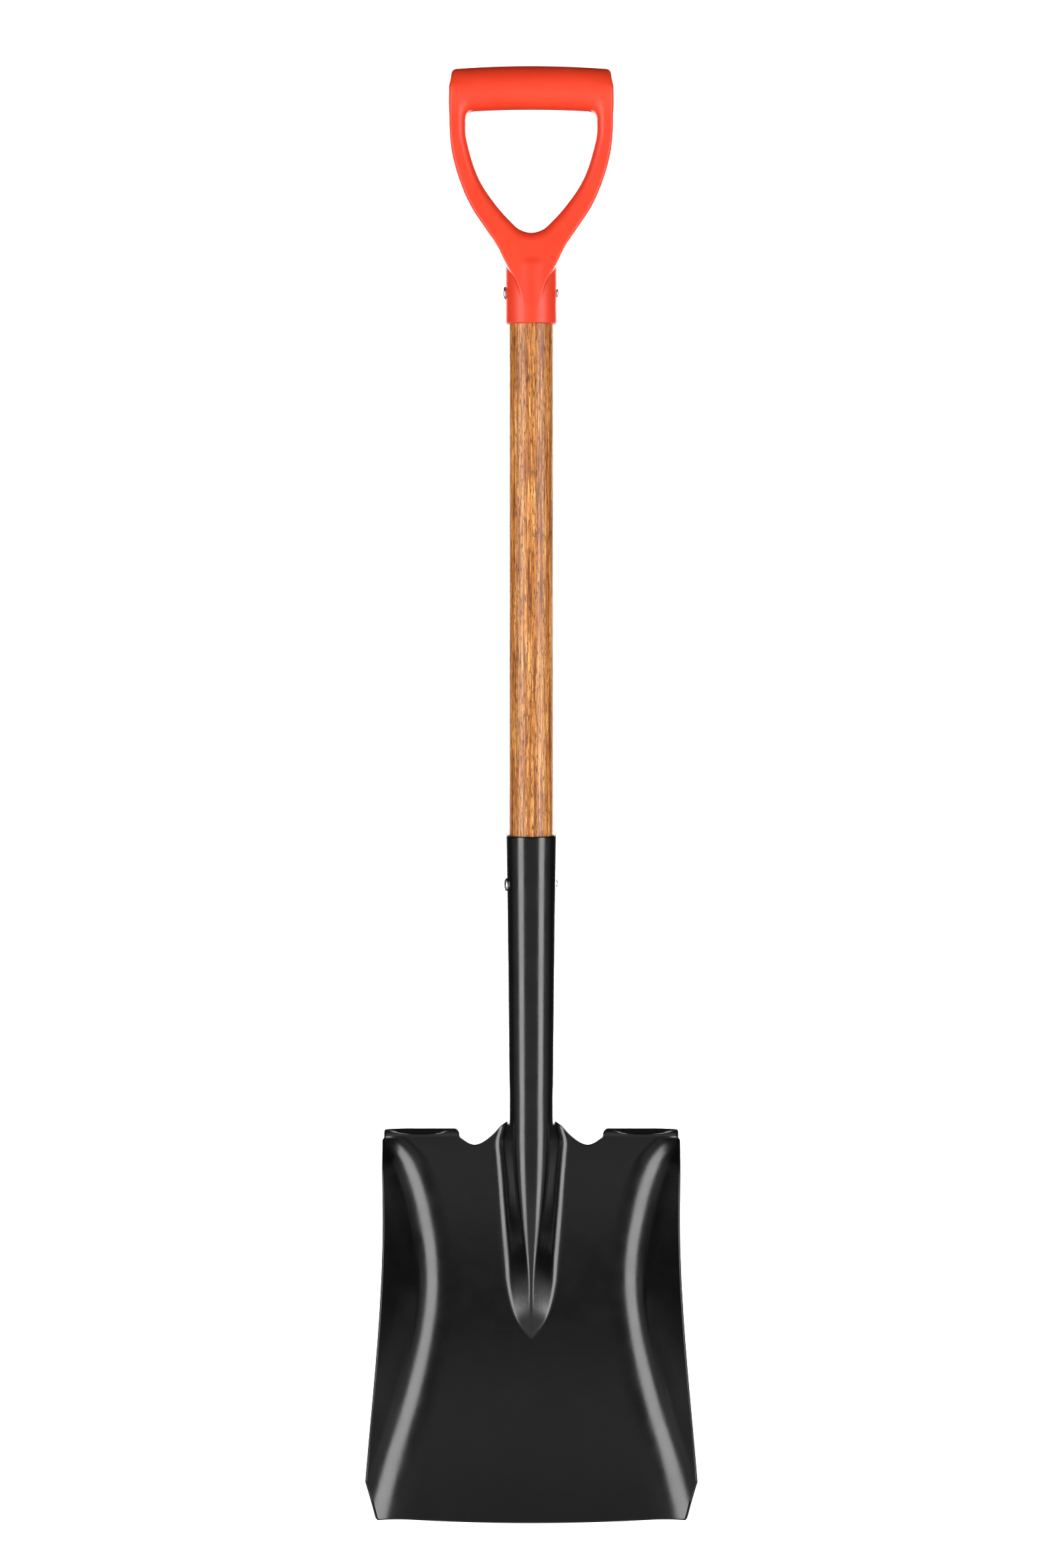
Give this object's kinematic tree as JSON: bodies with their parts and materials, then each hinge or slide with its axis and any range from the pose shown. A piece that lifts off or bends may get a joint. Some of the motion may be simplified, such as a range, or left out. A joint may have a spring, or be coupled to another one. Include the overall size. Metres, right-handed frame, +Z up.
{
  "type": "square-mouth D-grip shovel (garden spade)",
  "caption": "Square-mouth garden shovel with a pressed black steel head, a varnished wooden shaft and an orange-red D-grip.",
  "frame": {"origin": "middle of the crossbar's underside, on the shaft's axis, where a peg or hook holds the hung tool", "axes": "+Z up along the shaft's axis, from the cutting edge to the grip; +X to the right as seen from the scoop side; -Y is the side the scoop opens to"},
  "size_m": [0.232, 0.0676, 1.0242],
  "materials": {
    "black_paint": "semi-gloss black paint on pressed steel, slight orange peel",
    "varnished_wood": "varnished reddish-brown hardwood with straight grain",
    "orange_plastic": "satin moulded plastic",
    "rivet_steel": "plain zinc-plated steel"
  },
  "bodies": {
    "root": {"blade": "black_paint", "shaft": "varnished_wood", "grip": "orange_plastic", "grip_rivet": "rivet_steel", "socket_rivet": "rivet_steel"}
  },
  "joints": []
}
